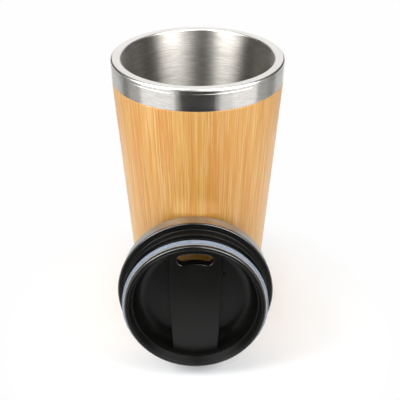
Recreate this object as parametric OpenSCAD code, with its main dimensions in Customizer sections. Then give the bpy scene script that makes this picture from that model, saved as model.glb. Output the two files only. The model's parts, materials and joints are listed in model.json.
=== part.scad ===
// Stainless travel cup in a bamboo sleeve, with its press-in drinking lid taken off and leaned on the cup.
// The cup stands on the table at z = 0 with its axis on Z. The lid faces -Y, its underside to the viewer.

/* [Cup body] */
// Height of the cup, standing without its lid
cup_h = 145.5; // [115:0.5:190]
// Diameter across the steel rim
rim_d = 86; // [78:0.5:100]
// Height of the bare steel band at the top
band_h = 10.7; // [7:0.1:20]
// Lean of the side wall, in degrees from upright
side_taper = 2.9; // [0:0.1:4]

/* [Rim and steel walls] */
// Width of the rolled lip, from the mouth's edge to the outside
lip_w = 4.7; // [4.2:0.1:6]
// Height of the rolled lip, down to its seam with the band
lip_h = 2.3; // [1.8:0.1:4]
// Rounding of the lip's outer edge
lip_outer_round = 1.5; // [1:0.1:1.8]
// Rounding of the lip's inner edge
lip_inner_round = 1.1; // [0.9:0.1:1.6]
// Thickness of the steel sheet
steel_t = 0.7; // [0.4:0.1:0.8]
// Depth of the neck under the lip, where the mouth narrows to the seal's seat
neck_h = 8; // [6:0.5:9]
// Narrowing of the neck, on the radius
neck_step = 2.2; // [1.6:0.1:2.4]
// Height of the drinking space's floor above the table
liner_floor_z = 7; // [6:0.5:20]
// Rounding between the liner's floor and its wall
liner_corner = 9; // [3:0.5:14]

/* [Bamboo sleeve] */
// Thickness of the bamboo wall
sleeve_t = 2.6; // [2:0.1:3.2]
// Gap that the glue fills between bamboo and steel
glue_gap = 0.1; // [0.05:0.05:0.2]
// Rounding of the sleeve's outer edges
sleeve_edge = 0.4; // [0.2:0.1:0.8]

/* [Base] */
// Height of the steel base ring under the sleeve, above the table
base_ring_h = 2.6; // [2.2:0.1:5]
// Thickness of the base disc over the pad's recess
base_disc_t = 1.2; // [0.8:0.1:2]
// Rounding of the base ring's lower edge
base_round = 0.9; // [0.4:0.1:1.2]
// Diameter of the anti-slip pad
pad_d = 54; // [40:1:58]
// Thickness of the anti-slip pad
pad_t = 1.6; // [1.2:0.1:2.2]
// How far the pad stands out under the base ring
pad_proud = 0.5; // [0.2:0.1:0.8]
// Gap round the pad in its recess
pad_gap = 0.2; // [0.1:0.1:0.5]

/* [Lid body] */
// How far the flange reaches out past the mouth's edge
flange_lap = 1.3; // [0.6:0.1:2]
// Thickness of the flange
flange_t = 1.8; // [1.4:0.1:3]
// Rounding of the flange's edge
flange_round = 0.7; // [0.3:0.1:0.9]
// Depth of the plug under the flange
plug_depth = 15; // [14:0.5:18]
// Gap between the plug's rim and the neck, bridged by the seal
plug_gap = 1.2; // [0.9:0.1:1.5]
// Wall of the plug at its rim
plug_wall = 2.1; // [1.9:0.1:2.6]
// Rounding of the plug's rim
plug_round = 0.8; // [0.4:0.1:0.9]
// Step back of the plug's wall behind its rim
plug_relief = 0.3; // [0.1:0.1:0.6]
// Gap between the collar under the flange and the mouth's edge
collar_gap = 1.9; // [1.8:0.1:2.4]
// Depth of the collar under the flange
collar_h = 5.5; // [4:0.5:6]
// Depth from the plug's rim to the underside of the lid's floor
cavity_depth = 15.5; // [15:0.5:18]
// Depth from the plug's rim to the small step in its inner wall
inner_step_depth = 3.8; // [3:0.1:5]
// Width of the small step in the plug's inner wall
inner_step_w = 0.5; // [0.2:0.1:0.8]
// Narrowing of the plug's inner wall from its rim to the small step, on the radius
inner_taper = 1.3; // [0.8:0.1:1.6]
// Rounding between the lid's floor and the inner wall
cavity_round = 7; // [4:0.5:8]
// Thickness of the lid's floor
lid_floor_t = 1.6; // [1.2:0.1:2.4]
// Diameter of the air hole beside the channel
vent_d = 1.8; // [1:0.1:2.5]
// Distance of the air hole to the side of the lid's centre
vent_x = 14.2; // [14:0.2:18]
// Distance of the air hole in front of the lid's centre
vent_y = 11; // [6:0.5:14]

/* [Slider channel] */
// Width of the channel at the drinking end, outside
channel_front_w = 24.6; // [23.4:0.2:25.4]
// Width of the channel at the lid's middle, outside
channel_middle_w = 25.4; // [24:0.2:26]
// Width of the channel at the far end, outside
channel_back_w = 23.2; // [22.6:0.2:24.4]
// Depth of the channel under the lid's floor
channel_drop = 9.1; // [8.8:0.1:9.6]
// Wall of the channel
channel_wall = 1.2; // [1:0.1:1.4]
// Inner edge of the drinking slot, from the lid's centre
slot_near = 21.9; // [20.9:0.1:22.2]
// Length of the drinking slot towards the rim
slot_long = 5.5; // [5.4:0.1:5.8]
// Width of the drinking slot across the channel
slot_wide = 17.6; // [13:0.1:17.8]

/* [Deck, trim and seal] */
// Thickness of the deck
deck_t = 1.6; // [1.2:0.1:2.2]
// Height of the drinking rim above the flange's underside
drink_rim_h = 11; // [9:0.5:14]
// Wall of the drinking rim
drink_wall = 1.9; // [1.5:0.1:2.5]
// Floor of the recessed lane that holds the slide down
lane_floor_t = 1.4; // [1:0.1:1.8]
// Gap between the lane and the channel that it sits in
lane_gap = 0.6; // [0.3:0.1:0.9]
// Wall of the lane
lane_wall = 1; // [0.8:0.1:1.2]
// Thickness of the steel trim
trim_t = 0.6; // [0.4:0.1:0.8]
// Step from the flange's edge in to the trim
trim_setback = 0.5; // [0.2:0.1:1]
// Narrowing of the trim from the flange to its top
trim_taper = 0.4; // [0:0.1:0.8]
// Rounding of the trim's top edge
trim_round = 1.2; // [0.9:0.1:1.6]
// Width of the trim's turned-in top
trim_turn_w = 2.2; // [1.8:0.1:3]
// Height of the silicone seal
seal_h = 2.8; // [2:0.1:3.4]
// Height of the plug's rim that holds the seal up
seal_shelf = 2.4; // [2:0.1:3]
// Depth of the groove that the seal sits in
seal_groove = 1.3; // [0.8:0.1:1.5]
// How much wider than its seat the free seal is, on the radius
seal_squeeze = 0.15; // [0.05:0.05:0.4]
// Rounding of the seal's outer edges
seal_round = 0.6; // [0.3:0.1:0.9]
// Gap between lid pieces that are pressed together
lid_gap = 0.1; // [0.05:0.05:0.15]

/* [Slide] */
// Travel of the slide from open to shut
slide_travel = 7.5; // [6.8:0.1:7.6]
// Thickness of the slide's gate
gate_t = 1.8; // [1.4:0.1:2]
// Length of the gate
gate_l = 36; // [32:0.5:37]
// Gap above and below the gate
slide_gap = 0.1; // [0.05:0.05:0.15]
// Gap at each side of the gate
gate_side_gap = 0.5; // [0.3:0.1:0.8]
// Distance that the open gate stays back from the slot
gate_back_off = 0.6; // [0.3:0.1:1]
// Width of the gate's neck
neck_w = 8; // [6:0.5:9]
// Length of the gate's neck
neck_l = 10; // [8:0.5:11]
// Height of the neck above the lane's floor
neck_rise = 4; // [3:0.1:5]
// Length of the thumb button
button_l = 15; // [13:0.5:16]
// Height of the thumb button above the lane's floor
button_h = 9.2; // [8:0.1:10]
// Number of grip ridges on the button
ridges = 4; // [2:1:5]
// Width of each grip ridge
ridge_w = 1.1; // [0.8:0.1:1.3]
// Height of each grip ridge
ridge_h = 0.6; // [0.3:0.1:0.8]

/* [How the lid leans] */
// Lean of the lid's face back from upright, in degrees
lean = 9; // [7:0.5:14]
// Distance of the lid's centre to the left of the cup's
lid_left = 1.2; // [0:0.1:6]
// Gap between the lid's top edge and the cup
lean_gap = 0.3; // [0.2:0.1:0.6]
// Gap between the lid's lowest edge and the table
table_gap = 0.1; // [0:0.05:0.2]

/* [Hidden] */
$fn = 144;
// Steps in each rounded corner of an outline
corner_steps = 6;
// Overrun of every cut past the face that it opens
over = 1;

// Cup radii and heights
rim_r = rim_d / 2;
mouth_r = rim_r - lip_w;
neck_r = mouth_r - neck_step;
band_z = cup_h - band_h;
neck_z = cup_h - lip_inner_round - neck_h;
pad_r = pad_d / 2;
function body_r(z) = rim_r - (band_z - z) * tan(side_taper);
function can_r(z) = body_r(z) - sleeve_t - glue_gap;
function bore_r(z) = neck_r - (neck_z - z) * tan(side_taper);
function arc(centre, r, from, to) =
    [for (i = [0:corner_steps])
        let (a = from + (to - from) * i / corner_steps) centre + r * [cos(a), sin(a)]];

// Heights in the lid's own frame: the flange's underside is at z = 0, with the lid's top side up
// and its drinking end at -Y
flange_r = mouth_r + flange_lap;
plug_r = neck_r - plug_gap;
collar_r = mouth_r - collar_gap;
cavity_r = plug_r - plug_wall;
groove_r = plug_r - seal_groove;
seal_z = seal_shelf - plug_depth;
seal_r = bore_r(cup_h + seal_z + seal_h / 2) + seal_squeeze;
floor_z = cavity_depth - plug_depth;
floor_top = floor_z + lid_floor_t;
step_z = inner_step_depth - plug_depth;
channel_z = floor_z - channel_drop;
channel_top = channel_z + channel_wall;
gate_z = channel_top + slide_gap;
lane_z = gate_z + gate_t + slide_gap;
lane_top = lane_z + lane_floor_t;
deck_top = floor_top + deck_t;
step_r = cavity_r - inner_taper;
wall_in_r = step_r - inner_step_w;
trim_r = flange_r - trim_setback;
trim_top_r = trim_r - trim_taper;
deck_r = trim_top_r - trim_t - lid_gap;
sink_r = collar_r - drink_wall;
channel_end_l = wall_in_r - channel_wall;
lane_l = channel_end_l - lane_gap;
slot_far = slot_near + slot_long;
slot_mid = slot_near + slot_long / 2;
slot_turn = asin((slot_wide - slot_long) / 2 / slot_mid);
inner_back_w = channel_back_w - 2 * channel_wall;
gate_w = inner_back_w - 2 * gate_side_gap;
gate_front = slot_near - gate_back_off;
lane_w = inner_back_w - lane_gap;
lane_inner_w = lane_w - 2 * lane_wall;
button_w = lane_inner_w - 2 * gate_side_gap;
neck_y = (gate_l - gate_front - neck_l) / 2 - neck_l / 2;

// Where the lid stands: its lowest round edge is on the table and its highest touches the cup's front
trim_corner = [trim_top_r - trim_round, drink_rim_h - trim_round];
flange_corner = [flange_r - flange_round, flange_t - flange_round];
function reach(corner) = corner[0] * cos(lean) + corner[1] * sin(lean);
lid_z = table_gap + max(reach(trim_corner) + trim_round, reach(flange_corner) + flange_round);
touch_z = lid_z + trim_corner[0] * cos(lean) - trim_corner[1] * sin(lean);
touch_y = -body_r(touch_z) - (trim_round + lean_gap) / cos(side_taper);
lid_y = touch_y - trim_corner[0] * sin(lean) - trim_corner[1] * cos(lean);

module place_lid() {
    translate([-lid_left, lid_y, lid_z]) rotate([-90 - lean, 0, 0]) children();
}

// A revolved shell of sheet steel: drawn cup, neck, and a lip turned out and down over the can
module inner_liner() {
    floor_in = liner_floor_z + liner_corner;
    wall_z = floor_in - liner_corner * sin(side_taper);
    corner_x = bore_r(wall_z) - liner_corner * cos(side_taper);
    lip_in = [mouth_r + lip_inner_round, cup_h - lip_inner_round];
    lip_out = [rim_r - lip_outer_round, cup_h - lip_outer_round];
    color("silver") rotate_extrude() polygon(concat(
        [[0, liner_floor_z]],
        arc([corner_x, floor_in], liner_corner, -90, -side_taper),
        [[neck_r, neck_z]],
        arc(lip_in, lip_inner_round, 180, 90),
        arc(lip_out, lip_outer_round, 90, 0),
        [[rim_r, cup_h - lip_h], [rim_r - steel_t, cup_h - lip_h]],
        arc(lip_out, lip_outer_round - steel_t, 0, 90),
        arc(lip_in, lip_inner_round - steel_t, 90, 180),
        [[neck_r + steel_t, neck_z]],
        arc([corner_x, floor_in], liner_corner + steel_t, -side_taper, -90),
        [[0, liner_floor_z - steel_t]]));
}

// The outer wall: a bare band at the top, then a shoulder that lets the bamboo lie flush under it
module outer_can() {
    lip_z = cup_h - lip_h;
    color("gainsboro") rotate_extrude() polygon([
        [rim_r, lip_z],
        [rim_r, band_z],
        [can_r(band_z), band_z],
        [can_r(base_ring_h), base_ring_h],
        [can_r(base_ring_h) - steel_t, base_ring_h],
        [can_r(band_z) - steel_t, band_z + steel_t],
        [rim_r - steel_t, band_z + steel_t],
        [rim_r - steel_t, lip_z]]);
}

// Laminated bamboo tube, turned to a taper and glued round the can
module bamboo_sleeve() {
    top = band_z - glue_gap;
    bottom = base_ring_h + glue_gap;
    color("burlywood") rotate_extrude() polygon(concat(
        [[body_r(bottom) - sleeve_t, bottom]],
        arc([body_r(bottom) - sleeve_edge, bottom + sleeve_edge], sleeve_edge, -90, -side_taper),
        arc([body_r(top) - sleeve_edge, top - sleeve_edge], sleeve_edge, -side_taper, 90),
        [[body_r(top) - sleeve_t, top]]));
}

// Steel base: a ring under the sleeve, a disc let into the can, and a recess for the pad
module base_cap() {
    ring_r = body_r(base_ring_h);
    spigot_r = can_r(base_ring_h) - steel_t - glue_gap;
    disc_top = pad_t + base_disc_t;
    color("silver") rotate_extrude() polygon(concat(
        [[0, pad_t], [pad_r + pad_gap, pad_t], [pad_r + pad_gap, pad_proud]],
        arc([ring_r - base_round, pad_proud + base_round], base_round, -90, 0),
        [[ring_r, base_ring_h], [spigot_r, base_ring_h], [spigot_r, disc_top], [0, disc_top]]));
}

// Soft disc that the cup stands on
module base_pad() {
    color("dimgray") cylinder(h = pad_t, r = pad_r);
}

// Kidney-shaped drinking slot, cut from one height to another
module slot_cut(low, high) {
    translate([0, 0, low]) {
        rotate([0, 0, -90 - slot_turn]) rotate_extrude(angle = 2 * slot_turn)
            translate([slot_near, 0]) square([slot_long, high - low]);
        for (side = [-1, 1])
            rotate([0, 0, side * slot_turn]) translate([0, -slot_mid, 0])
                cylinder(h = high - low, d = slot_long);
    }
}

// A bar across the lid, as wide as stated at its drinking end, middle and far end.
// Both ends follow the wall
module channel_bar(front_w, middle_w, back_w, reach, low, high) {
    intersection() {
        translate([0, 0, low]) linear_extrude(high - low) polygon([
            [-front_w / 2, -reach], [front_w / 2, -reach], [middle_w / 2, 0],
            [back_w / 2, reach], [-back_w / 2, reach], [-middle_w / 2, 0]]);
        translate([0, 0, low]) cylinder(h = high - low, r = reach);
    }
}

// A bar of one width across the lid. Both ends follow the wall
module lane_bar(width, reach, low, high) {
    intersection() {
        translate([-width / 2, -reach, low]) cube([width, 2 * reach, high - low]);
        translate([0, 0, low]) cylinder(h = high - low, r = reach);
    }
}

module vent_cut(low, high) {
    translate([vent_x, -vent_y, low]) cylinder(h = high - low, d = vent_d);
}

// Flange, plug and floor in one moulding, with the slider's channel hanging across the cavity.
// The floor stands over the flange, or lies sunk inside the collar where the plug is deep
module lid_body() {
    rim_z = -plug_depth;
    wall_r = plug_r - plug_relief;
    groove_top = seal_z + seal_h + lid_gap;
    ledge_r = floor_top > flange_t ? deck_r : sink_r;
    color("#1c1c1c") place_lid() difference() {
        union() {
            rotate_extrude() polygon(concat(
                [[0, floor_z]],
                arc([wall_in_r - cavity_round, floor_z - cavity_round], cavity_round, 90, 0),
                [[wall_in_r, step_z], [step_r, step_z]],
                arc([cavity_r + plug_round, rim_z + plug_round], plug_round, 180, 270),
                arc([plug_r - plug_round, rim_z + plug_round], plug_round, 270, 360),
                [[plug_r, seal_z], [groove_r, seal_z], [groove_r, groove_top], [wall_r, groove_top],
                    [wall_r, -collar_h], [collar_r, -collar_h], [collar_r, 0]],
                arc([flange_r - flange_round, flange_round], flange_round, 270, 360),
                arc([flange_r - flange_round, flange_t - flange_round], flange_round, 0, 90),
                [[ledge_r, flange_t], [ledge_r, floor_top], [0, floor_top]]));
            channel_bar(channel_front_w, channel_middle_w, channel_back_w, step_r, channel_z, floor_top);
        }
        channel_bar(channel_front_w - 2 * channel_wall, channel_middle_w - 2 * channel_wall, inner_back_w,
            channel_end_l, channel_top, floor_top + over);
        slot_cut(channel_z - over, channel_top + over);
        vent_cut(floor_z - over, floor_top + over);
    }
}

// Upper moulding: the raised drinking rim, the deck, and the lane that keeps the slide in its channel.
// Where the lid's floor is sunk, the rim stands on the flange and the deck steps down inside it
module lid_deck() {
    wall_top = drink_rim_h - trim_t - lid_gap;
    shoulder_round = trim_round - trim_t - lid_gap;
    window_l = neck_l + slide_travel + 2 * gate_side_gap;
    sunk = floor_top < flange_t;
    underside = sunk ? [[sink_r, floor_top], [sink_r, flange_t], [deck_r, flange_t]] : [[deck_r, floor_top]];
    rim_foot = deck_r - drink_wall;
    step_in = sink_r - deck_t;
    topside = sunk
        ? [[rim_foot, flange_t + deck_t], [step_in, flange_t + deck_t], [step_in, deck_top]]
        : [[rim_foot, deck_top]];
    color("#262626") place_lid() difference() {
        union() {
            rotate_extrude() polygon(concat(
                [[0, floor_top]], underside,
                arc(trim_corner, shoulder_round, 0, 90),
                [[rim_foot, wall_top]], topside,
                [[0, deck_top]]));
            lane_bar(lane_w, lane_l, lane_z, deck_top);
        }
        lane_bar(lane_inner_w, lane_l - lane_wall, lane_top, deck_top + over);
        slot_cut(lane_z - over, lane_top + over);
        translate([-neck_w / 2 - gate_side_gap, neck_y - slide_travel - gate_side_gap, lane_z - over])
            cube([neck_w + 2 * gate_side_gap, window_l, lane_floor_t + 2 * over]);
        vent_cut(floor_top - over, deck_top + over);
    }
}

// Steel ring clamped between flange and drinking rim, its top edge rolled inwards
module lid_trim() {
    low = flange_t;
    corner = trim_corner;
    inner_round = trim_round - trim_t;
    turn_r = trim_top_r - trim_turn_w;
    color("lightgray") place_lid() rotate_extrude() polygon(concat(
        [[trim_r, low]],
        arc(corner, trim_round, 0, 90),
        [[turn_r, drink_rim_h], [turn_r, drink_rim_h - trim_t]],
        arc(corner, inner_round, 90, 0),
        [[trim_r - trim_t, low]]));
}

// Silicone ring in the plug's groove
module seal_ring() {
    low = seal_z;
    high = seal_z + seal_h;
    color("lightsteelblue") place_lid() rotate_extrude() polygon(concat(
        [[groove_r + lid_gap, low]],
        arc([seal_r - seal_round, low + seal_round], seal_round, -90, 0),
        arc([seal_r - seal_round, high - seal_round], seal_round, 0, 90),
        [[groove_r + lid_gap, high]]));
}

// Flat gate that shuts the slot, with the neck that carries the button
module slide_gate() {
    color("#202020") place_lid() {
        intersection() {
            translate([-gate_w / 2, -gate_front, gate_z]) cube([gate_w, gate_l, gate_t]);
            translate([0, 0, gate_z]) cylinder(h = gate_t, r = max(gate_front, gate_l - gate_front + over));
            translate([0, gate_l - gate_front, gate_z]) cylinder(h = gate_t, r = gate_l);
        }
        translate([-neck_w / 2, neck_y, gate_z + gate_t])
            cube([neck_w, neck_l, lane_top - gate_z - gate_t + neck_rise]);
    }
}

// Thumb button pressed over the neck, with grip ridges across its top
module thumb_button() {
    low = lane_top + slide_gap;
    ridge_pitch = button_l / (ridges + 1);
    body_h = button_h - ridge_h - slide_gap;
    color("#2a2a2a") place_lid() difference() {
        translate([0, neck_y + neck_l / 2, low]) {
            translate([-button_w / 2, -button_l / 2, 0]) cube([button_w, button_l, body_h]);
            for (i = [1:ridges])
                translate([-button_w / 2, i * ridge_pitch - button_l / 2 - ridge_w / 2, body_h])
                    cube([button_w, ridge_w, ridge_h]);
        }
        translate([-neck_w / 2 - slide_gap, neck_y - slide_gap, low - over])
            cube([neck_w + 2 * slide_gap, neck_l + 2 * slide_gap, neck_rise + over]);
    }
}

inner_liner();
outer_can();
bamboo_sleeve();
base_cap();
base_pad();
lid_body();
lid_deck();
lid_trim();
seal_ring();
slide_gate();
thumb_button();
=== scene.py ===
import json
import math

import bmesh
import bpy
from mathutils import Matrix, Vector


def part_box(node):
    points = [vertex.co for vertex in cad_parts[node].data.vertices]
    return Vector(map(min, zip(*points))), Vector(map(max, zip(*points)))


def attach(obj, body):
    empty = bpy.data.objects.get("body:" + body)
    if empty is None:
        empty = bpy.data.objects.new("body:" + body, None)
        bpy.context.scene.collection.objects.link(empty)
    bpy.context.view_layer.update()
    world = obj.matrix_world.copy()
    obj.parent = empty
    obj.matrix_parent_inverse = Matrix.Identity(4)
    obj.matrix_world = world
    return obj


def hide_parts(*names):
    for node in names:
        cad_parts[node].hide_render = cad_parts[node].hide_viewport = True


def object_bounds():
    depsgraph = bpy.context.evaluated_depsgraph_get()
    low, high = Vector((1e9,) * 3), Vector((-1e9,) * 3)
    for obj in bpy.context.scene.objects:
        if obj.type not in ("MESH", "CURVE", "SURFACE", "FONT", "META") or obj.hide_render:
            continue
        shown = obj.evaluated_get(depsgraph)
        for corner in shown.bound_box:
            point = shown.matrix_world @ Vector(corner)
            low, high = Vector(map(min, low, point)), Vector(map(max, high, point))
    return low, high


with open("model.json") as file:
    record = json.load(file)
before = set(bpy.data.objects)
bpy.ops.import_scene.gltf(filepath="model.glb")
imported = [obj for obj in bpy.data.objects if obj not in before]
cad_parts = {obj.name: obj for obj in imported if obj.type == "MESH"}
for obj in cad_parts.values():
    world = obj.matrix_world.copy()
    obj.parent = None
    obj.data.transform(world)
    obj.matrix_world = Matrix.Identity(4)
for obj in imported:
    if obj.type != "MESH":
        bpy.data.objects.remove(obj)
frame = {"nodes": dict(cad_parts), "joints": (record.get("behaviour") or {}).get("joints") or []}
cad_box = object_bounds()

# Inner cup
# The cup that holds the drink is drawn from one stainless sheet, with a neck for the lid's seal and a lip
# rolled out over the outer wall. A fine belt leaves rings of scratches inside. The lip's crest is polished,
# and the lip's outer side is ground together with the band below it.
mm = 0.001
liner_low, liner_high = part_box("inner_liner")
rim_r = (liner_high.x - liner_low.x) / 2 / mm
cup_top = liner_high.z / mm
cup_floor = 7
floor_round = 9
sheet_t = 0.7
lip_w = 4.7
lip_h = 2.3
lip_outer_round = 1.0
lip_inner_round = 1.1
neck_step = 2.2
neck_h = 8
neck_blend = 30
side_lean = 2.9
wall_slope = math.tan(math.radians(side_lean))
edge_break = 0.12
crest_share = 0.6
steel_colour = (184, 180, 174)
lip_colour = (238, 235, 231)
band_colour = (231, 228, 223)


def rounded(corners, steps=8):
    """The points of an outline whose corners (across, up, rounding) are rounded off."""
    points = []
    for i, (across, up, rounding) in enumerate(corners):
        corner = Vector((across, up))
        if not rounding:
            points.append(corner)
            continue
        back = (Vector(corners[i - 1][:2]) - corner).normalized()
        ahead = (Vector(corners[(i + 1) % len(corners)][:2]) - corner).normalized()
        half = back.angle(ahead) / 2
        centre = corner + (back + ahead).normalized() * rounding / math.sin(half)
        first = corner + back * rounding / math.tan(half) - centre
        last = corner + ahead * rounding / math.tan(half) - centre
        start = math.atan2(first.y, first.x)
        sweep = math.remainder(math.atan2(last.y, last.x) - start, math.tau)
        for k in range(steps + 1):
            turn = start + sweep * k / steps
            points.append(centre + rounding * Vector((math.cos(turn), math.sin(turn))))
    return points


def turned(outline, sides=192):
    """A closed mesh turned round the Z axis from an outline of (radius, height)."""
    mesh = bmesh.new()
    turns = [math.tau * i / sides for i in range(sides)]
    rings = []
    for radius, height in outline:
        if radius < edge_break / 10:
            rings.append([mesh.verts.new((0, 0, height))])
        else:
            rings.append([mesh.verts.new((radius * math.cos(turn), radius * math.sin(turn), height))
                          for turn in turns])
    for ring, after in zip(rings, rings[1:] + rings[:1]):
        if len(ring) == len(after) == 1:
            continue
        for i in range(sides):
            j = (i + 1) % sides
            around = [ring[i % len(ring)], ring[j % len(ring)],
                      after[j % len(after)], after[i % len(after)]]
            mesh.faces.new(list(dict.fromkeys(around)))
    return mesh


def blank(name, mesh):
    """An unfinished workpiece, still in millimetres at the origin."""
    bmesh.ops.recalc_face_normals(mesh, faces=mesh.faces)
    piece = bpy.data.objects.new(name, bpy.data.meshes.new(name))
    mesh.to_mesh(piece.data)
    mesh.free()
    bpy.context.scene.collection.objects.link(piece)
    return piece


def settle(piece):
    """Makes what a workpiece's modifiers do to it a part of its mesh."""
    bpy.context.view_layer.update()
    graph = bpy.context.evaluated_depsgraph_get()
    piece.data = bpy.data.meshes.new_from_object(piece.evaluated_get(graph))
    piece.modifiers.clear()


def fit_up(piece, finish, body, node, place=Matrix.Identity(4), crease=40):
    """Gives a workpiece its finish, size and place, ties it to its body and hides the part it stands for."""
    piece.data.transform(Matrix.Scale(mm, 4))
    piece.data.shade_smooth()
    piece.data.set_sharp_from_angle(angle=math.radians(crease))
    even = piece.modifiers.new("even_shading", "WEIGHTED_NORMAL")
    even.keep_sharp = True
    settle(piece)
    piece.data.materials.clear()
    piece.data.materials.append(finish)
    piece.matrix_world = place
    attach(piece, body)
    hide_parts(node)
    return piece


def seen(red, green, blue):
    """A colour as the eye reads it, from 0 to 255, as the light that a shader takes."""
    light = []
    for value in (red, green, blue):
        share = value / 255
        light.append(share / 12.92 if share <= 0.04045 else ((share + 0.055) / 1.055) ** 2.4)
    return (*light, 1)


def new_finish(name):
    """A bare finish: its material, its node tree and its shader."""
    finish = bpy.data.materials.new(name)
    finish.use_nodes = True
    return finish, finish.node_tree, finish.node_tree.nodes["Principled BSDF"]


def add(tree, kind, inputs=None, **settings):
    """A node with its settings made and its inputs set, or linked where they are another node's output."""
    node = tree.nodes.new("ShaderNode" + kind)
    for name, value in settings.items():
        setattr(node, name, value)
    for name, value in (inputs or {}).items():
        if isinstance(value, bpy.types.NodeSocket):
            tree.links.new(value, node.inputs[name])
        else:
            node.inputs[name].default_value = value
    return node.outputs[0]


def sums(tree, operation, first, second=0.0):
    """What an operation makes of one or two numbers."""
    return add(tree, "Math", {0: first, 1: second}, operation=operation)


def length_of(tree, vector):
    """How long a vector is."""
    return add(tree, "VectorMath", {0: vector}, operation="LENGTH").node.outputs["Value"]


def own_place(tree):
    """Where a point is on its own piece, in metres."""
    return add(tree, "TexCoord").node.outputs["Object"]


def split_place(tree):
    """The three coordinates of a point on its own piece, and its place with the height left out."""
    parts = add(tree, "SeparateXYZ", {0: own_place(tree)}).node.outputs
    return parts, add(tree, "CombineXYZ", {0: parts[0], 1: parts[1]})


def tint(tree, amount, low_colour, high_colour, low=0.0, high=1.0):
    """A colour between two, as the amount goes from low to high."""
    ramp = add(tree, "ValToRGB", {"Fac": amount})
    stops = ramp.node.color_ramp.elements
    stops[0].position, stops[0].color = low, seen(*low_colour)
    stops[1].position, stops[1].color = high, seen(*high_colour)
    return ramp


def cover(tree, below, share, tone):
    """The colour below, covered by a tone to a share that differs from point to point."""
    return add(tree, "Mix", {"Factor": share, 6: below, 7: seen(*tone)}, data_type="RGBA").node.outputs[2]


def uneven_satin(tree, shader, noise, low, high):
    """Roughness that wanders between two values, as a noise does."""
    satin = add(tree, "MapRange", {
        "Value": noise, "From Min": 0.3, "From Max": 0.7, "To Min": low, "To Max": high})
    tree.links.new(satin, shader.inputs["Roughness"])


def relief(tree, shader, noise, depth, strength=1.0):
    """Fine relief that follows a noise, to a depth in millimetres."""
    bump = add(tree, "Bump", {"Height": noise, "Strength": strength, "Distance": depth * mm})
    tree.links.new(bump, shader.inputs["Normal"])


def ring_coordinates(tree, streak_count, fineness):
    """Coordinates in which a noise draws rings round the Z axis, with few cells in the length of each."""
    parts, flat = split_place(tree)
    heading = add(tree, "VectorMath", {0: flat}, operation="NORMALIZE")
    spread = add(tree, "VectorMath", {0: heading, "Scale": streak_count}, operation="SCALE")
    along = sums(tree, "MULTIPLY", sums(tree, "ADD", parts[2], length_of(tree, flat)), fineness / mm)
    lift = add(tree, "CombineXYZ", {2: along})
    return add(tree, "VectorMath", {0: spread, 1: lift}, operation="ADD")


def ground_steel(name, colour, roughness, stretch, scratch_depth, scratch_tone,
                 streak_count=9, fineness=2.2):
    """Stainless steel ground round its axis, with fine scratches that smear the light across them."""
    finish, tree, shader = new_finish(name)
    rings = ring_coordinates(tree, streak_count, fineness)
    fine = add(tree, "TexNoise", {"Vector": rings, "Scale": 1.0, "Detail": 4.0, "Roughness": 0.8})
    broad = ring_coordinates(tree, streak_count=3, fineness=0.25)
    cloudy = add(tree, "TexNoise", {"Vector": broad, "Scale": 1.0, "Detail": 2.0})
    darker = tuple(value * scratch_tone for value in colour)
    tone = tint(tree, fine, darker, colour, low=0.35, high=0.6)
    tree.links.new(tone, shader.inputs["Base Color"])
    uneven_satin(tree, shader, cloudy, low=roughness * 0.9, high=roughness * 1.1)
    relief(tree, shader, fine, scratch_depth)
    grain = add(tree, "Tangent", direction_type="RADIAL", axis="Z")
    tree.links.new(grain, shader.inputs["Tangent"])
    shader.inputs["Metallic"].default_value = 1.0
    shader.inputs["Anisotropic"].default_value = stretch
    shader.inputs["Anisotropic Rotation"].default_value = 0.25
    return finish


def polish(piece, finish, polished):
    """Gives a workpiece one more finish, on the faces that pass a test."""
    piece.data.materials.append(finish)
    for face in piece.data.polygons:
        if polished(face):
            face.material_index = len(piece.data.materials) - 1


mouth_r = rim_r - lip_w
neck_r = mouth_r - neck_step
neck_top = cup_top - lip_inner_round - neck_h
floor_r = neck_r - (neck_top - cup_floor) * wall_slope
inner_cup = blank("inner_cup", turned(rounded([
    (0, cup_floor, 0),
    (floor_r, cup_floor, floor_round),
    (neck_r, neck_top, neck_blend),
    (mouth_r, cup_top, lip_inner_round),
    (rim_r, cup_top, lip_outer_round),
    (rim_r, cup_top - lip_h, edge_break),
    (rim_r - sheet_t, cup_top - lip_h, edge_break),
    (rim_r - sheet_t, cup_top - sheet_t, lip_outer_round - sheet_t),
    (mouth_r + sheet_t, cup_top - sheet_t, lip_inner_round - sheet_t),
    (neck_r + sheet_t, neck_top, neck_blend),
    (floor_r + sheet_t, cup_floor - sheet_t, floor_round + sheet_t),
    (0, cup_floor - sheet_t, 0)])))
inside_finish = ground_steel(
    "ground_steel_inside", steel_colour,
    roughness=0.5, stretch=0.97, scratch_depth=0.003, scratch_tone=0.78,
    streak_count=4, fineness=2.8)
lip_finish = ground_steel(
    "polished_lip", lip_colour, roughness=0.3, stretch=0.3, scratch_depth=0.0005, scratch_tone=0.96)
band_finish = ground_steel(
    "ground_steel_band", band_colour, roughness=0.2, stretch=0.5, scratch_depth=0.002, scratch_tone=0.92)
fit_up(inner_cup, inside_finish, "cup", "inner_liner")
polish(inner_cup, band_finish, lambda face: face.center.xy.length > (rim_r - lip_outer_round) * mm)
polish(inner_cup, lip_finish, lambda face: face.center.z > (cup_top - lip_inner_round * crest_share) * mm)

# Outer wall
# A second steel can stands round the inner cup, with still air between them to keep the drink warm. Its bare
# band shows under the lip. Below the band it steps in, so that the bamboo lies flush.
band_h = 10.7
bamboo_t = 2.6
glue_t = 0.1
can_bottom = 2.6
band_bottom = cup_top - band_h


def body_r(height):
    """Radius of the cup's outside at a height."""
    return rim_r - (band_bottom - height) * wall_slope


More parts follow.
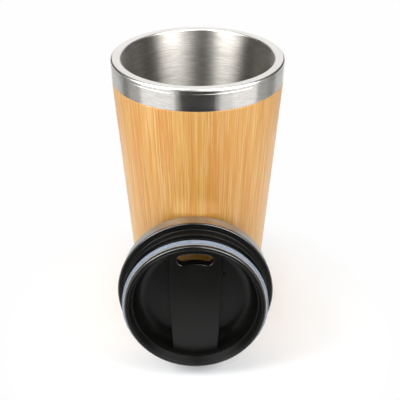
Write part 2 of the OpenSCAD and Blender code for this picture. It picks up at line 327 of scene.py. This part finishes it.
can_gap = bamboo_t + glue_t
outer_wall = blank("outer_wall", turned(rounded([
    (rim_r, cup_top - lip_h, edge_break),
    (rim_r, band_bottom, edge_break),
    (body_r(band_bottom) - can_gap, band_bottom, edge_break),
    (body_r(can_bottom) - can_gap, can_bottom, 0),
    (body_r(can_bottom) - can_gap - sheet_t, can_bottom, 0),
    (body_r(band_bottom) - can_gap - sheet_t, band_bottom + sheet_t, edge_break),
    (rim_r - sheet_t, band_bottom + sheet_t, edge_break),
    (rim_r - sheet_t, cup_top - lip_h, 0)])))
fit_up(outer_wall, band_finish, "cup", "outer_can")

# Bamboo sleeve
# Strips of bamboo are glued edge to edge into a tube, which is turned to a taper and glued round the can.
# A clear matte lacquer leaves the upright fibres and the fine glue lines between the strips to be seen.
strip_count = 34
sleeve_edge = 0.4
fibre_stride = 7.3
pale_strip = (206, 158, 76)
middle_strip = (200, 147, 60)
ripe_strip = (194, 136, 45)
pale_fibre = (210, 171, 108)
fibre_tone = (190, 118, 22)
fleck_tone = (176, 104, 28)
glue_tone = (170, 104, 34)


def bamboo(name):
    """Lacquered bamboo: each strip has its own shade, with upright fibres, flecks and a thin glue line."""
    finish, tree, shader = new_finish(name)
    parts = add(tree, "SeparateXYZ", {0: own_place(tree)}).node.outputs
    turn = sums(tree, "ARCTAN2", parts[1], parts[0])
    strips = sums(tree, "MULTIPLY", turn, strip_count / math.tau)
    number = sums(tree, "FLOOR", strips)
    across = sums(tree, "FRACT", strips)
    lot = add(tree, "TexWhiteNoise", {"W": number}, noise_dimensions="1D").node.outputs["Value"]
    round_mm = sums(tree, "MULTIPLY", turn, rim_r)
    up_mm = sums(tree, "DIVIDE", parts[2], mm)

    def fibres(width, length, detail, seed):
        """Straight fibres of a width, side by side, whose tone changes along them over about a length."""
        fibre = sums(tree, "FLOOR", sums(tree, "MULTIPLY", round_mm, 1 / width))
        where = add(tree, "CombineXYZ", {
            0: sums(tree, "MULTIPLY", fibre, fibre_stride),
            1: sums(tree, "MULTIPLY", up_mm, 1 / length),
            2: seed})
        return add(tree, "TexNoise", {"Vector": where, "Scale": 1.0, "Detail": detail, "Roughness": 0.6})

    colour = tint(tree, lot, pale_strip, ripe_strip)
    middle = colour.node.color_ramp.elements.new(0.5)
    middle.color = seen(*middle_strip)
    broad = fibres(width=2.3, length=90, detail=2, seed=3)
    pale = fibres(width=0.55, length=55, detail=2, seed=29)
    fine = fibres(width=0.45, length=70, detail=2, seed=17)
    flecks = fibres(width=0.3, length=12, detail=1, seed=41)
    from_edge = sums(tree, "MINIMUM", across, sums(tree, "SUBTRACT", 1.0, across))
    for amount, none_at, most_at, most, tone in (
            (broad, 0.44, 0.66, 0.5, fibre_tone),
            (pale, 0.48, 0.64, 0.8, pale_fibre),
            (fine, 0.49, 0.66, 0.8, fibre_tone),
            (flecks, 0.6, 0.74, 0.4, fleck_tone),
            (from_edge, 0.02, 0.006, 0.35, glue_tone)):
        share = add(tree, "MapRange", {
            "Value": amount, "From Min": none_at, "From Max": most_at, "To Max": most})
        colour = cover(tree, colour, share, tone)
    tree.links.new(colour, shader.inputs["Base Color"])
    uneven_satin(tree, shader, fine, low=0.42, high=0.54)
    relief(tree, shader, fine, depth=0.012, strength=0.6)
    shader.inputs["Coat Weight"].default_value = 0.6
    shader.inputs["Coat Roughness"].default_value = 0.3
    return finish


sleeve_top = band_bottom - glue_t
sleeve_bottom = can_bottom + glue_t
bamboo_sleeve = blank("bamboo_tube", turned(rounded([
    (body_r(sleeve_bottom) - bamboo_t, sleeve_bottom, edge_break),
    (body_r(sleeve_bottom), sleeve_bottom, sleeve_edge),
    (body_r(sleeve_top), sleeve_top, sleeve_edge),
    (body_r(sleeve_top) - bamboo_t, sleeve_top, edge_break)]), sides=256))
fit_up(bamboo_sleeve, bamboo("lacquered_bamboo"), "cup", "bamboo_sleeve")

# Base
# A pressed steel base closes the double wall. Its ring stands under the bamboo as a bright foot, and its
# middle is recessed for the pad.
pad_r = 27
pad_t = 1.6
pad_proud = 0.5
pad_gap = 0.2
base_disc_t = 1.2
foot_round = 0.9
foot_r = body_r(can_bottom)
spigot_r = foot_r - can_gap - sheet_t - glue_t
steel_base = blank("steel_base", turned(rounded([
    (0, pad_t, 0),
    (pad_r + pad_gap, pad_t, edge_break),
    (pad_r + pad_gap, pad_proud, edge_break * 2),
    (foot_r, pad_proud, foot_round),
    (foot_r, can_bottom, edge_break),
    (spigot_r, can_bottom, 0),
    (spigot_r, pad_t + base_disc_t, 0),
    (0, pad_t + base_disc_t, 0)])))
base_finish = ground_steel(
    "ground_steel_base", steel_colour, roughness=0.24, stretch=0.5, scratch_depth=0.002, scratch_tone=0.95)
fit_up(steel_base, base_finish, "cup", "base_cap")

# Pad
# A soft disc is glued into the base, so that the cup neither slips nor clatters. Rings moulded into its
# underside grip the table.
groove_count = 6
groove_w = 1.2
groove_depth = 0.35
pad_edge = 0.3
pad_colour = (44, 44, 45)


def matt_rubber(name, colour):
    """Soft moulded rubber with a fine tooth."""
    finish, tree, shader = new_finish(name)
    place = own_place(tree)
    tooth = add(tree, "TexNoise", {"Vector": place, "Scale": 2.5 / mm, "Detail": 3.0})
    cloud = add(tree, "TexNoise", {"Vector": place, "Scale": 0.12 / mm, "Detail": 2.0})
    lighter = tuple(value * 1.25 for value in colour)
    tree.links.new(tint(tree, cloud, colour, lighter, low=0.3, high=0.7), shader.inputs["Base Color"])
    relief(tree, shader, tooth, depth=0.05, strength=0.5)
    shader.inputs["Roughness"].default_value = 0.72
    return finish


groove_pitch = (pad_r - groove_w * 3) / groove_count
underside = [(0, 0, 0)]
for i in range(groove_count):
    inner = groove_pitch * (i + 0.5)
    underside += [(inner, 0, edge_break), (inner, groove_depth, edge_break),
                  (inner + groove_w, groove_depth, edge_break), (inner + groove_w, 0, edge_break)]
grip_pad = blank("grip_pad", turned(rounded(underside + [
    (pad_r, 0, pad_edge),
    (pad_r, pad_t, edge_break),
    (0, pad_t, 0)], steps=4)))
fit_up(grip_pad, matt_rubber("pad_rubber", pad_colour), "cup", "base_pad")

# Lid body
# The lid is a black moulding: a flange that lands on the cup's lip, a plug with a wall, and a floor. A
# channel crosses the floor for the slide, with the drinking slot at one end and an air hole beside it.
# The lid's own frame has the flange's underside at zero, its top side up +Z and its drinking end towards -Y.
plug_depth = 15
flange_r = 39.6
flange_t = 1.8
flange_round = 0.7
collar_r = 36.4
collar_h = 5.5
collar_round = 0.4
plug_r = 34.9
wall_r = 34.6
groove_r = 33.6
rim_in_r = 32.8
step_r = 31.5
wall_in_r = 31.0
plug_round = 0.8
bead_w = 0.5
bead_depth = 0.3
bead_r = 33.5
seal_low = -12.6
seal_h = 2.8
lid_gap = 0.1
lid_floor = 0.5
lid_floor_t = 1.6
cavity_round = 7
step_low = -11.2
channel_low = -8.6
channel_wall = 1.2
channel_front_w = 24.6
channel_middle_w = 25.4
channel_back_w = 23.2
channel_bow = 300
channel_edge = 0.5
slot_near = 21.9
slot_far = 27.4
slot_w = 17.6
slot_edge = 0.5
vent_r = 0.9
vent_place = (14.2, -11)
deck_r = 38.0
overrun = 1
black_plastic = (14, 14, 13)


def frame_reach(node, heading):
    """How far a part of the frame reaches along a heading, from its least to its most, in metres."""
    reaches = [v.co.dot(heading) for v in frame["nodes"][node].data.vertices]
    return min(reaches), max(reaches)


lid_pull = Vector(next(j["axis"] for j in frame["joints"] if j["name"] == "lid_off"))
lid_up = -lid_pull
lid_right = Vector((1, 0, 0))
lid_back = lid_up.cross(lid_right)
lid_left_edge, lid_right_edge = frame_reach("seal_ring", lid_right)
lid_front_edge, lid_back_edge = frame_reach("seal_ring", lid_back)
lid_centre = (lid_right * (lid_left_edge + lid_right_edge) / 2
              + lid_back * (lid_front_edge + lid_back_edge) / 2
              + lid_up * (frame_reach("lid_body", lid_up)[0] + plug_depth * mm))
lid_place = Matrix.Translation(lid_centre) @ Matrix((lid_right, lid_back, lid_up)).transposed().to_4x4()


def piled(loops):
    """A closed mesh through loops of points, one above the other, capped at both ends."""
    mesh = bmesh.new()
    rings = [[mesh.verts.new(point) for point in loop] for loop in loops]
    for ring, after in zip(rings, rings[1:]):
        for i in range(len(ring)):
            j = (i + 1) % len(ring)
            mesh.faces.new((ring[i], ring[j], after[j], after[i]))
    mesh.faces.new(rings[0])
    mesh.faces.new(rings[-1])
    return mesh


def arc_end(half, radius, way, corner, centre=0.0, steps=12):
    """Corners along a plan's round end, from side to side, with the first and the last rounded off."""
    swing = math.asin(half / radius)
    points = []
    for k in range(steps + 1):
        turn = swing * (2 * k / steps - 1)
        rounding = corner if k in (0, steps) else 0
        points.append((-way * radius * math.sin(turn), centre + way * radius * math.cos(turn), rounding))
    return points


def bar_plan(front_w, middle_w, back_w, reach, corner, inset=0.0, bow=0.0):
    """Plan of a bar across the lid, with ends round the lid's centre and sides that bow at its middle."""
    points = []
    for width, way in ((front_w, -1), (back_w, 1)):
        points += arc_end(width / 2 - inset, reach - inset, way, corner)
        points.append((-way * (middle_w / 2 - inset), 0, bow))
    return rounded(points, steps=5)


def slot_plan(grow=0.0, steps=12):
    """Kidney-shaped plan of the drinking slot, grown on all sides."""
    middle = (slot_near + slot_far) / 2
    half = (slot_far - slot_near) / 2
    swing = math.asin((slot_w / 2 - half) / middle)
    points = []
    for side, start in ((1, -1), (-1, 1)):
        for k in range(steps + 1):
            turn = swing * (start + side * 2 * k / steps)
            radius = middle + side * (half + grow)
            points.append(Vector((radius * math.sin(turn), -radius * math.cos(turn))))
        pivot = Vector((middle * math.sin(side * swing), -middle * math.cos(side * swing)))
        for k in range(1, steps):
            turn = side * swing + math.pi / 2 - side * math.pi / 2 + math.pi * k / steps
            points.append(pivot + (half + grow) * Vector((math.sin(turn), -math.cos(turn))))
    return points


def at_height(plan, height):
    """A plan's points, all at one height."""
    return [(point[0], point[1], height) for point in plan]


def prism(plan, first, last):
    """A straight block with the same plan from one height to another."""
    return piled([at_height(plan, first), at_height(plan, last)])


def eased(plan_at, height, rounding, upward, steps=5):
    """Loops that round the edge of a face at a height: the plan draws in as it comes near the face."""
    loops = []
    for k in range(steps + 1):
        turn = math.pi / 2 * k / steps
        inset = rounding * (1 - math.sin(turn))
        loops.append(at_height(plan_at(inset), height - upward * rounding * (1 - math.cos(turn))))
    return loops if upward < 0 else loops[::-1]


def flared(plan_at, face, way, rounding, steps=4):
    """Loops of a cutter that rounds a hole's edge, from outside the face to the hole's own size."""
    loops = [at_height(plan_at(rounding), face - way * overrun)]
    for k in range(steps + 1):
        turn = math.pi / 2 * k / steps
        grow = rounding * (1 - math.sin(turn))
        loops.append(at_height(plan_at(grow), face + way * rounding * (1 - math.cos(turn))))
    return loops


def work(piece, tool, operation):
    """Joins a tool to the workpiece, or cuts it out."""
    step = piece.modifiers.new("step", "BOOLEAN")
    step.operation = operation
    step.solver = "EXACT"
    step.object = tool
    settle(piece)
    bpy.data.objects.remove(tool)


def round_hole(centre, radius, low, high, sides=48):
    """A drill for a round hole."""
    plan = []
    for i in range(sides):
        turn = math.tau * i / sides
        plan.append((centre[0] + radius * math.cos(turn), centre[1] + radius * math.sin(turn)))
    return blank("drill", prism(plan, low, high))


def moulded_plastic(name, colour, roughness, tooth_depth=0.006, gloss=0.26):
    """Moulded polypropylene: almost black, satin, with a mould's fine tooth and slight clouding."""
    finish, tree, shader = new_finish(name)
    place = own_place(tree)
    tooth = add(tree, "TexNoise", {"Vector": place, "Scale": 4 / mm, "Detail": 2.0})
    cloud = add(tree, "TexNoise", {"Vector": place, "Scale": 0.08 / mm, "Detail": 3.0})
    lighter = tuple(value * 1.2 for value in colour)
    tree.links.new(tint(tree, cloud, colour, lighter, low=0.35, high=0.65), shader.inputs["Base Color"])
    uneven_satin(tree, shader, cloud, low=roughness * 0.9, high=roughness * 1.1)
    relief(tree, shader, tooth, tooth_depth)
    shader.inputs["Specular IOR Level"].default_value = gloss
    return finish


plug_rim = -plug_depth
lid_floor_top = lid_floor + lid_floor_t
seal_top = seal_low + seal_h
lid_body = blank("lid_moulding", turned(rounded([
    (0, lid_floor, 0),
    (wall_in_r, lid_floor, cavity_round),
    (wall_in_r, step_low, edge_break),
    (step_r, step_low, edge_break),
    (rim_in_r, plug_rim, plug_round / 2),
    (bead_r - bead_w / 2, plug_rim, edge_break),
    (bead_r, plug_rim + bead_depth, edge_break),
    (bead_r + bead_w / 2, plug_rim, edge_break),
    (plug_r, plug_rim, plug_round),
    (plug_r, seal_low, edge_break),
    (groove_r, seal_low, edge_break),
    (groove_r, seal_top + lid_gap, edge_break),
    (wall_r, seal_top + lid_gap, edge_break),
    (wall_r, -collar_h, edge_break),
    (collar_r, -collar_h, edge_break * 2),
    (collar_r, 0, collar_round),
    (flange_r, 0, flange_round),
    (flange_r, flange_t, flange_round),
    (deck_r, flange_t, edge_break),
    (deck_r, lid_floor_top, edge_break),
    (0, lid_floor_top, 0)], steps=6)))


def channel_plan(inset):
    """Plan of the channel's outside, drawn in on all sides."""
    return bar_plan(channel_front_w, channel_middle_w, channel_back_w, wall_in_r + channel_wall,
                    channel_edge, inset, channel_bow)


inner_reach = wall_in_r - channel_wall
inner_back_w = channel_back_w - 2 * channel_wall
inner_plan = bar_plan(channel_front_w - 2 * channel_wall, channel_middle_w - 2 * channel_wall, inner_back_w,
                      inner_reach, channel_edge, 0, channel_bow)
channel_floor = channel_low + channel_wall
work(lid_body, blank("channel", piled(
    eased(channel_plan, channel_low, channel_edge, -1)
    + [at_height(channel_plan(0), lid_floor + lid_floor_t / 2)])), "UNION")
channel_room = prism(inner_plan, channel_floor, lid_floor_top + overrun)
work(lid_body, blank("channel_core", channel_room), "DIFFERENCE")
work(lid_body, blank("slot_core", piled(
    flared(slot_plan, channel_low, 1, slot_edge)
    + [at_height(slot_plan(), channel_floor + overrun)])), "DIFFERENCE")
work(lid_body, round_hole(vent_place, vent_r, lid_floor - overrun, lid_floor_top + overrun), "DIFFERENCE")
body_finish = moulded_plastic("black_moulding", black_plastic, roughness=0.32)
fit_up(lid_body, body_finish, "lid", "lid_body", lid_place)


def polished_edge(face):
    """Whether a face of the lid body is on the round edge of the plug, the flange or the drinking slot."""
    place = face.center / mm
    out = place.xy.length
    at_plug = out > plug_r - plug_round and place.z < plug_rim + plug_round
    at_flange = out > flange_r - flange_round
    along_slot = slot_near - 2 * slot_edge < -place.y < slot_far + 2 * slot_edge
    by_slot = along_slot and abs(place.x) < slot_w / 2 and place.z < channel_low + slot_edge
    sloping = abs(face.normal.z) < 0.99
    return at_plug or at_flange or (by_slot and sloping)


edge_finish = moulded_plastic("black_edges", black_plastic, roughness=0.16, tooth_depth=0.001, gloss=1.0)
polish(lid_body, edge_finish, polished_edge)

# Seal
# A ring of soft silicone is moulded in one piece and stretched into the plug's groove. Its two lips press on
# the cup's neck.
seal_r = (lid_right_edge - lid_left_edge) / 2 / mm
seal_round = 0.5
seal_waist = 0.6
seal_waist_round = 0.3
seal_lip_round = 0.2
seal_colour = (120, 134, 152)
# Painted highlight: a pale line on the seal's lower face, beside the plug's outer wall, stands in for the
# light that this edge catches.
seal_highlight_colour = (186, 182, 174)
seal_highlight_w = 0.7


def silicone(name, colour):
    """Pale silicone, a little milky, with the faint bloom that it picks up in use."""
    finish, tree, shader = new_finish(name)
    bloom = add(tree, "TexNoise", {"Vector": own_place(tree), "Scale": 0.35 / mm, "Detail": 4.0})
    paler = tuple(value * 1.08 for value in colour)
    parts, flat = split_place(tree)
    inward = add(tree, "MapRange", {
        "Value": length_of(tree, flat),
        "From Min": (plug_r + seal_highlight_w) * mm,
        "From Max": (plug_r + seal_highlight_w / 2) * mm})
    low = add(tree, "MapRange", {
        "Value": parts[2], "From Min": (seal_low + seal_round) * mm, "From Max": seal_low * mm})
    clean = tint(tree, bloom, colour, paler, low=0.35, high=0.65)
    # The painted highlight line, pale on the seal's lower face next to the plug's outer wall.
    highlighted = cover(tree, clean, sums(tree, "MULTIPLY", inward, low), seal_highlight_colour)
    tree.links.new(highlighted, shader.inputs["Base Color"])
    uneven_satin(tree, shader, bloom, low=0.4, high=0.52)
    shader.inputs["Subsurface Weight"].default_value = 0.25
    shader.inputs["Subsurface Radius"].default_value = (1.0, 0.9, 0.8)
    shader.inputs["Subsurface Scale"].default_value = 0.8 * mm
    return finish


seal_middle = seal_low + seal_h / 2
seal_ring = blank("silicone_seal", turned(rounded([
    (groove_r + lid_gap, seal_low, edge_break),
    (seal_r, seal_low, seal_round),
    (seal_r, seal_middle - seal_waist / 2, seal_lip_round),
    (seal_r - seal_waist, seal_middle, seal_waist_round),
    (seal_r, seal_middle + seal_waist / 2, seal_lip_round),
    (seal_r, seal_top, seal_round),
    (groove_r + lid_gap, seal_top, edge_break)], steps=5)))
fit_up(seal_ring, silicone("milky_silicone", seal_colour), "lid", "seal_ring", lid_place)

# Deck
# The upper moulding makes the drinking rim and the deck inside it. Its sunk lane drops into the channel and
# holds the slide down, with a window for the slide's neck. It clamps the trim and is welded to the lid body.
trim_top = 11
trim_t = 0.6
drink_wall = 1.9
drink_round = 0.5
deck_fillet = 1.5
deck_t = 1.6
lane_t = 1.4
lane_gap = 0.6
lane_wall = 1
lane_edge = 0.4
gate_t = 1.8
slide_gap = 0.1
window_w = 9
window_front = -10.65
window_back = 7.85
window_round = 0.5
lane_low = channel_floor + gate_t + 2 * slide_gap
lane_w = inner_back_w - lane_gap
lane_reach = inner_reach - lane_gap
drink_top = trim_top - trim_t - lid_gap
deck_top = lid_floor_top + deck_t
lane_top = lane_low + lane_t
lid_deck = blank("drinking_deck", turned(rounded([
    (0, lid_floor_top, 0),
    (deck_r, lid_floor_top, edge_break),
    (deck_r, drink_top, drink_round),
    (deck_r - drink_wall, drink_top, drink_round),
    (deck_r - drink_wall, deck_top, deck_fillet),
    (0, deck_top, 0)])))


def lane_plan(grow):
    """Plan of the sunk lane's inside, grown on all sides."""
    width = lane_w - 2 * lane_wall
    return bar_plan(width, width, width, lane_reach - lane_wall, lane_edge * 1.5 + grow, -grow)


lane_outside = bar_plan(lane_w, lane_w, lane_w, lane_reach, lane_edge)
work(lid_deck, blank("lane", prism(lane_outside, lane_low, lid_floor_top + deck_t / 2)), "UNION")
work(lid_deck, blank("lane_core", piled(
    flared(lane_plan, deck_top, -1, lane_edge) + [at_height(lane_plan(0), lane_top)])), "DIFFERENCE")
work(lid_deck, blank("slot_core", prism(slot_plan(), lane_top + overrun, lane_low - overrun)), "DIFFERENCE")
window_plan = rounded([
    (-window_w / 2, window_front, window_round),
    (window_w / 2, window_front, window_round),
    (window_w / 2, window_back, window_round),
    (-window_w / 2, window_back, window_round)], steps=4)
window_room = prism(window_plan, lane_low - overrun, lane_top + overrun)
work(lid_deck, blank("window_core", window_room), "DIFFERENCE")
work(lid_deck, round_hole(vent_place, vent_r, lid_floor_top - overrun, deck_top + overrun), "DIFFERENCE")
deck_finish = moulded_plastic("black_deck", black_plastic, roughness=0.34)
fit_up(lid_deck, deck_finish, "lid", "lid_deck", lid_place)

# Trim
# A spun ring of finely ground steel dresses the lid between its flange and its drinking rim. Its top edge
# is rolled in.
trim_r = 39.1
trim_top_r = 38.7
trim_round = 1.2
trim_turn_w = 2.2
# The trim's colour is partly the steel's own grey and partly painted shade: it is set darker, for the
# shadowed bamboo that the trim reflects.
trim_steel_and_shade = (174, 171, 166)
steel_trim = blank("steel_trim", turned(rounded([
    (trim_r, flange_t, edge_break),
    (trim_top_r, trim_top, trim_round),
    (trim_top_r - trim_turn_w, trim_top, edge_break),
    (trim_top_r - trim_turn_w, trim_top - trim_t, edge_break),
    (trim_top_r - trim_t, trim_top - trim_t, trim_round - trim_t),
    (trim_r - trim_t, flange_t, edge_break)])))
trim_finish = ground_steel(
    "ground_steel_trim", trim_steel_and_shade, roughness=0.3, stretch=0.8, scratch_depth=0.001, scratch_tone=0.97)
fit_up(steel_trim, trim_finish, "lid", "lid_trim", lid_place)

# Slide
# A flat black gate runs in the channel under the deck and shuts the drinking slot. Its neck stands up
# through the window and carries the thumb button.
gate_w = 19.8
gate_front = -21.3
gate_l = 36
gate_corner = 0.8
neck_w = 8
neck_l = 10
neck_front = -2.65
neck_rise = 4
neck_corner = 0.4


def box_plan(width, front, back, corner, inset=0.0):
    """Plan of a block with rounded corners, drawn in on all sides."""
    return rounded([
        (-width / 2 + inset, front + inset, corner),
        (width / 2 - inset, front + inset, corner),
        (width / 2 - inset, back - inset, corner),
        (-width / 2 + inset, back - inset, corner)], steps=5)


def eased_block(plan_at, low, high, rounding):
    """A block whose lower and upper edges are rounded."""
    return piled(eased(plan_at, low, rounding, -1) + eased(plan_at, high, rounding, 1))


def gate_plan(inset):
    """Plan of the gate. Its front edge is round, to fit the channel's end."""
    half = gate_w / 2 - inset
    rear = gate_front + gate_l
    points = [(half, rear - inset, gate_corner), (-half, rear - inset, gate_corner)]
    return rounded(points + arc_end(half, gate_l - inset, -1, gate_corner, centre=rear), steps=5)


gate_low = channel_floor + slide_gap
neck_end = lane_top + neck_rise
neck_plan = box_plan(neck_w, neck_front, neck_front + neck_l, neck_corner)
slide_gate = blank("slide_gate_plate", eased_block(gate_plan, gate_low, gate_low + gate_t, edge_break * 2))
work(slide_gate, blank("neck", prism(neck_plan, gate_low + gate_t / 2, neck_end)), "UNION")
gate_finish = moulded_plastic("black_gate", black_plastic, roughness=0.42)
fit_up(slide_gate, gate_finish, "slide", "slide_gate", lid_place)

# Thumb button
# The button is a small black cap, pressed over the slide's neck after the lid is closed up. Ridges across
# its top give the thumb a hold.
button_w = 17.2
button_l = 15
button_h = 9.2
button_gap = 0.1
button_corner = 1.6
button_edge = 0.5
ridge_count = 4
ridge_w = 1.1
ridge_h = 0.6
ridge_inset = 1
ridge_corner = 0.5
ridge_edge = 0.3
button_middle = neck_front + neck_l / 2
button_low = lane_top + button_gap
button_top = lane_top + button_h - ridge_h


def button_plan(inset):
    """Plan of the button's cap, drawn in on all sides."""
    return box_plan(button_w, button_middle - button_l / 2, button_middle + button_l / 2,
                    button_corner, inset)


def ridge(middle):
    """A ridge across the button, with its foot sunk into the cap."""

    def plan(inset):
        return box_plan(button_w - 2 * ridge_inset, middle - ridge_w / 2, middle + ridge_w / 2,
                        ridge_corner - inset, inset)

    foot = at_height(plan(0), button_top - ridge_h)
    return blank("ridge", piled([foot] + eased(plan, button_top + ridge_h, ridge_edge, 1)))


thumb_button = blank("thumb_cap", eased_block(button_plan, button_low, button_top, button_edge))
for i in range(1, ridge_count + 1):
    work(thumb_button, ridge(button_middle + button_l * (i / (ridge_count + 1) - 0.5)), "UNION")
socket_plan = box_plan(neck_w + 2 * button_gap, neck_front - button_gap, neck_front + neck_l + button_gap,
                       neck_corner)
work(thumb_button, blank("neck_socket", prism(socket_plan, button_low - overrun, neck_end)), "DIFFERENCE")
button_finish = moulded_plastic("black_button", black_plastic, roughness=0.5, tooth_depth=0.015)
fit_up(thumb_button, button_finish, "slide", "thumb_button", lid_place)

# Table
# The cup stands on a plain white sweep. It shows as white to the eye and in the steel, and keeps the soft
# shadow at the foot of the cup and the lid, which fades out within a hand's breadth.
table_size = 3.0
table_white = 0.99
paper_colour = (250, 250, 250)
paper_fleck = (252, 252, 252)
shadow_depth = 1.0
shadow_middle = (0, -0.03, 0)
shadow_reach = (0.05, 0.11)


def seen_directly(tree):
    """One for what the camera, a mirror or a clear piece looks at, and nothing for light on its way."""
    paths = add(tree, "LightPath").node.outputs
    sight = sums(tree, "MAXIMUM", paths["Is Camera Ray"], paths["Is Glossy Ray"])
    return sums(tree, "MAXIMUM", sight, paths["Is Transmission Ray"])


def card(name, corners, surface_of):
    """A flat piece through its corners, whose finish is what a function makes of the finish's tree."""
    mesh = bmesh.new()
    mesh.faces.new([mesh.verts.new(corner) for corner in corners])
    piece = blank(name, mesh)
    finish, tree, shader = new_finish(name + "_finish")
    tree.nodes.remove(shader)
    tree.links.new(surface_of(tree), tree.nodes["Material Output"].inputs["Surface"])
    piece.data.materials.append(finish)
    return piece


def white_sweep(tree):
    """Lit paper near the cup, where its shadow falls, that goes over into an even white."""
    place = own_place(tree)
    speckle = add(tree, "TexNoise", {"Vector": place, "Scale": 40.0, "Detail": 2.0})
    paper = add(tree, "BsdfDiffuse", {"Color": tint(tree, speckle, paper_colour, paper_fleck)})
    white = add(tree, "Emission", {"Color": (1, 1, 1, 1), "Strength": table_white})
    away = add(tree, "VectorMath", {0: place, 1: shadow_middle}, operation="DISTANCE").node.outputs["Value"]
    even_share = add(tree, "MapRange", {
        "Value": away, "From Min": shadow_reach[0], "From Max": shadow_reach[1], "To Min": 1 - shadow_depth})
    even = sums(tree, "MULTIPLY", seen_directly(tree), even_share)
    return add(tree, "MixShader", {0: even, 1: paper, 2: white})


table_half = table_size / 2
table_corners = [(x * table_half, y * table_half, 0) for x, y in ((-1, -1), (1, -1), (1, 1), (-1, 1))]
card("white_table", table_corners, white_sweep)

# Studio
# Soft white light comes from all round and from three lamps. Black, grey and bright cards stand round the
# cup, with a lit strip on either side. Only shiny surfaces show them: dark and light columns in the steel.
surround_strength = 0.5
surround_white = 0.99
ring_r = 0.23
front_r = 0.16
low_top = 0.145
front_top = 0.13
high_foot = 0.15
high_top = 0.5
high_top_r = 0.1
front_cards = (
    # headings of both sides in degrees from the front, and how light
    (-20, 20, 0.03),
    (20, 25, 0.35),
    (25, 40, 0.8),
    (-25, -20, 0.35),
)
low_cards = (
    (76, 96, 0.42),
    (96, 109, 0.31),
    (109, 115, 0.42),
    (115, 146, 0.64),
    (-94, -72, 0.42),
    (-106, -94, 0.22),
    (-115, -106, 0.5),
    (-146, -115, 0.64),
)
high_cards = (
    (-31, -2, 0.01),
    (-2, 12, 0.7),
    (12, 28, 3.6),
    (28, 67, 8.0),
    (80, 112, 0.06),
    (112, 150, 0.01),
    (-78, -35, 8.0),
    (-112, -80, 0.06),
    (-150, -112, 0.01),
)
tiers = (
    # name, foot and top as height and distance from the cup's axis, and cards
    ("front", (0, front_r), (front_top, front_r), front_cards),
    ("low", (0, ring_r), (low_top, ring_r), low_cards),
    ("high", (high_foot, ring_r), (high_top, high_top_r), high_cards),
)
lamps = (
    # name, place, size, power, whether it lights the surfaces, whether shiny ones show it
    ("left_lamp", (-0.85, -0.27, 0.85), 0.5, 7.4, True, False),
    ("right_lamp", (0.85, -0.27, 0.85), 0.5, 5.1, True, False),
    ("front_lamp", (0.0, -1.05, 0.75), 0.6, 6.6, True, False),
    ("left_strip", (-0.80, -0.60, 0.85), 0.4, 3.0, False, True),
    ("right_strip", (0.85, -0.55, 0.85), 0.4, 3.0, False, True),
)

studio = bpy.data.worlds.new("studio")
bpy.context.scene.world = studio
studio.use_nodes = True
air = studio.node_tree
strength = add(air, "MapRange", {
    "Value": seen_directly(air), "To Min": surround_strength, "To Max": surround_white})
air.links.new(strength, air.nodes["Background"].inputs["Strength"])
air.nodes["Background"].inputs["Color"].default_value = (1, 1, 1, 1)


def set_flag(name, corners, lightness):
    """Sets up a card that only shiny surfaces see, anywhere from black to brighter than white."""
    flag = card(name, corners, lambda tree: add(tree, "Emission", {
        "Color": (1, 1, 1, 1), "Strength": lightness}))
    flag.visible_camera = False
    flag.visible_diffuse = False
    flag.visible_shadow = False


for tier, foot, top, cards in tiers:
    for number, (start, end, lightness) in enumerate(cards):
        corners = []
        for heading, (up, out) in ((start, foot), (end, foot), (end, top), (start, top)):
            turn = math.radians(heading)
            corners.append((out * math.sin(turn), -out * math.cos(turn), up))
        set_flag(f"{tier}_flag_{number}", corners, lightness)

aim = (cad_box[0] + cad_box[1]) / 2
for name, place, size, power, lights, shows in lamps:
    lamp = bpy.data.lights.new(name, "AREA")
    lamp.shape = "SQUARE"
    lamp.size = size
    lamp.energy = power
    holder = bpy.data.objects.new(name, lamp)
    holder.location = place
    holder.rotation_euler = (aim - Vector(place)).to_track_quat("-Z", "Y").to_euler()
    holder.visible_diffuse = lights
    holder.visible_glossy = shows
    bpy.context.scene.collection.objects.link(holder)

# Camera
# The view is from the front and well above, through a slightly long lens, near enough for the cup to narrow
# towards the table.
camera_place = (1.18 * mm, -302.5 * mm, 259.0 * mm)
camera_dip = 33.44
lens_mm = 57.31
film_mm = 36
near_limit = 10 * mm
camera = bpy.data.objects.new("camera", bpy.data.cameras.new("camera"))
camera.data.lens = lens_mm
camera.data.sensor_width = film_mm
camera.data.clip_start = near_limit
camera.location = camera_place
camera.rotation_euler.x = math.radians(90 - camera_dip)
bpy.context.scene.collection.objects.link(camera)
bpy.context.scene.camera = camera
bpy.context.scene.view_settings.view_transform = "Standard"
